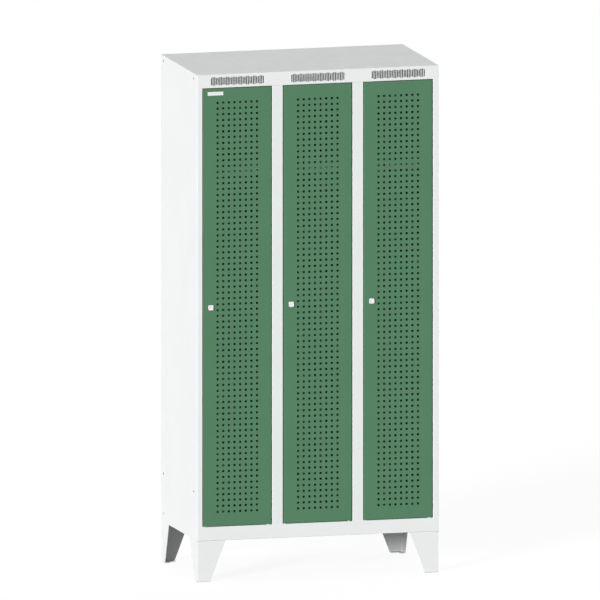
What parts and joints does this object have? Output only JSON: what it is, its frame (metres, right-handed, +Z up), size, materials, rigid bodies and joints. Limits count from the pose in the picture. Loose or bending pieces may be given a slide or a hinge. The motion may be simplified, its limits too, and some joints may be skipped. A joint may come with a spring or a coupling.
{
  "type": "clothes locker",
  "caption": "Sheet steel clothes locker with side by side compartments, perforated doors, cam locks, shelves, rails with sliding hooks, and bent legs.",
  "frame": {"origin": "on the floor, below the centre of the bounding box", "axes": "+Z up along the height, -Y out of the doors' faces, +X to the right as seen from the front"},
  "size_m": [0.9, 0.504, 1.85],
  "materials": {
    "body_paint": "satin powder coat, light grey",
    "door_paint": "satin powder coat, green",
    "zinc_plated_steel": "bright zinc",
    "lock_body": "light grey, satin",
    "lock_plug": "nickel plated",
    "nylon": "natural nylon",
    "soft_pad": "matt",
    "hook_plastic": "satin black",
    "plate": "blank, satin"
  },
  "bodies": {
    "cabinet": {"side_panel_left": "body_paint", "side_panel_right": "body_paint", "side_stile_left": "body_paint", "side_stile_right": "body_paint", "back_panel": "body_paint", "roof_panel": "body_paint", "floor_panel": "body_paint", "front_fascia": "body_paint", "bottom_rail": "body_paint", "mid_stile_1": "body_paint", "mid_stile_2": "body_paint", "partition_1": "body_paint", "partition_2": "body_paint", "hat_shelf_1": "body_paint", "clothes_rail_1": "zinc_plated_steel", "hat_shelf_2": "body_paint", "clothes_rail_2": "zinc_plated_steel", "hat_shelf_3": "body_paint", "clothes_rail_3": "zinc_plated_steel", "leg_front_left": "body_paint", "leg_front_right": "body_paint", "leg_back_left": "body_paint", "leg_back_right": "body_paint", "leg_bolts": "zinc_plated_steel", "leg_nuts": "zinc_plated_steel", "hinge_pins": "zinc_plated_steel", "stop_pads": "soft_pad", "sill_pads": "nylon", "rail_sockets": "zinc_plated_steel"},
    "door_1": {"door_leaf_1": "door_paint", "door_stiffener_1": "door_paint", "hinge_bushes_1": "nylon", "lock_housing_1": "lock_body", "lock_nut_1": "zinc_plated_steel", "name_plate": "plate"},
    "lock_1": {"lock_plug_1": "lock_plug", "lock_cam_1": "zinc_plated_steel", "cam_screw_1": "zinc_plated_steel"},
    "door_2": {"door_leaf_2": "door_paint", "door_stiffener_2": "door_paint", "hinge_bushes_2": "nylon", "lock_housing_2": "lock_body", "lock_nut_2": "zinc_plated_steel"},
    "lock_2": {"lock_plug_2": "lock_plug", "lock_cam_2": "zinc_plated_steel", "cam_screw_2": "zinc_plated_steel"},
    "door_3": {"door_leaf_3": "door_paint", "door_stiffener_3": "door_paint", "hinge_bushes_3": "nylon", "lock_housing_3": "lock_body", "lock_nut_3": "zinc_plated_steel"},
    "lock_3": {"lock_plug_3": "lock_plug", "lock_cam_3": "zinc_plated_steel", "cam_screw_3": "zinc_plated_steel"},
    "coat_hook_1_left": {"coat_hook_1_left": "hook_plastic"},
    "coat_hook_1_right": {"coat_hook_1_right": "hook_plastic"},
    "coat_hook_2_left": {"coat_hook_2_left": "hook_plastic"},
    "coat_hook_2_right": {"coat_hook_2_right": "hook_plastic"},
    "coat_hook_3_left": {"coat_hook_3_left": "hook_plastic"},
    "coat_hook_3_right": {"coat_hook_3_right": "hook_plastic"}
  },
  "joints": [
    {"name": "door_1_hinge", "type": "hinge", "parent": "cabinet", "child": "door_1", "pos_m": [-0.18301, -0.24, 1], "axis": [0, 0, 1], "range_deg": [0, 110]},
    {"name": "lock_1_turn", "type": "hinge", "parent": "door_1", "child": "lock_1", "pos_m": [-0.39899, -0.248, 1], "axis": [0, 1, 0], "range_deg": [0, 90]},
    {"name": "door_2_hinge", "type": "hinge", "parent": "cabinet", "child": "door_2", "pos_m": [0.11699, -0.24, 1], "axis": [0, 0, 1], "range_deg": [0, 110]},
    {"name": "lock_2_turn", "type": "hinge", "parent": "door_2", "child": "lock_2", "pos_m": [-0.09899, -0.248, 1], "axis": [0, 1, 0], "range_deg": [0, 90]},
    {"name": "door_3_hinge", "type": "hinge", "parent": "cabinet", "child": "door_3", "pos_m": [0.41699, -0.24, 1], "axis": [0, 0, 1], "range_deg": [0, 110]},
    {"name": "lock_3_turn", "type": "hinge", "parent": "door_3", "child": "lock_3", "pos_m": [0.20101, -0.248, 1], "axis": [0, 1, 0], "range_deg": [0, 90]},
    {"name": "coat_hook_1_left_slide", "type": "slide", "parent": "cabinet", "child": "coat_hook_1_left", "axis": [1, 0, 0], "range_m": [-0.08, 0.03]},
    {"name": "coat_hook_1_right_slide", "type": "slide", "parent": "cabinet", "child": "coat_hook_1_right", "axis": [1, 0, 0], "range_m": [-0.03, 0.08]},
    {"name": "coat_hook_2_left_slide", "type": "slide", "parent": "cabinet", "child": "coat_hook_2_left", "axis": [1, 0, 0], "range_m": [-0.08, 0.03]},
    {"name": "coat_hook_2_right_slide", "type": "slide", "parent": "cabinet", "child": "coat_hook_2_right", "axis": [1, 0, 0], "range_m": [-0.03, 0.08]},
    {"name": "coat_hook_3_left_slide", "type": "slide", "parent": "cabinet", "child": "coat_hook_3_left", "axis": [1, 0, 0], "range_m": [-0.08, 0.03]},
    {"name": "coat_hook_3_right_slide", "type": "slide", "parent": "cabinet", "child": "coat_hook_3_right", "axis": [1, 0, 0], "range_m": [-0.03, 0.08]}
  ]
}
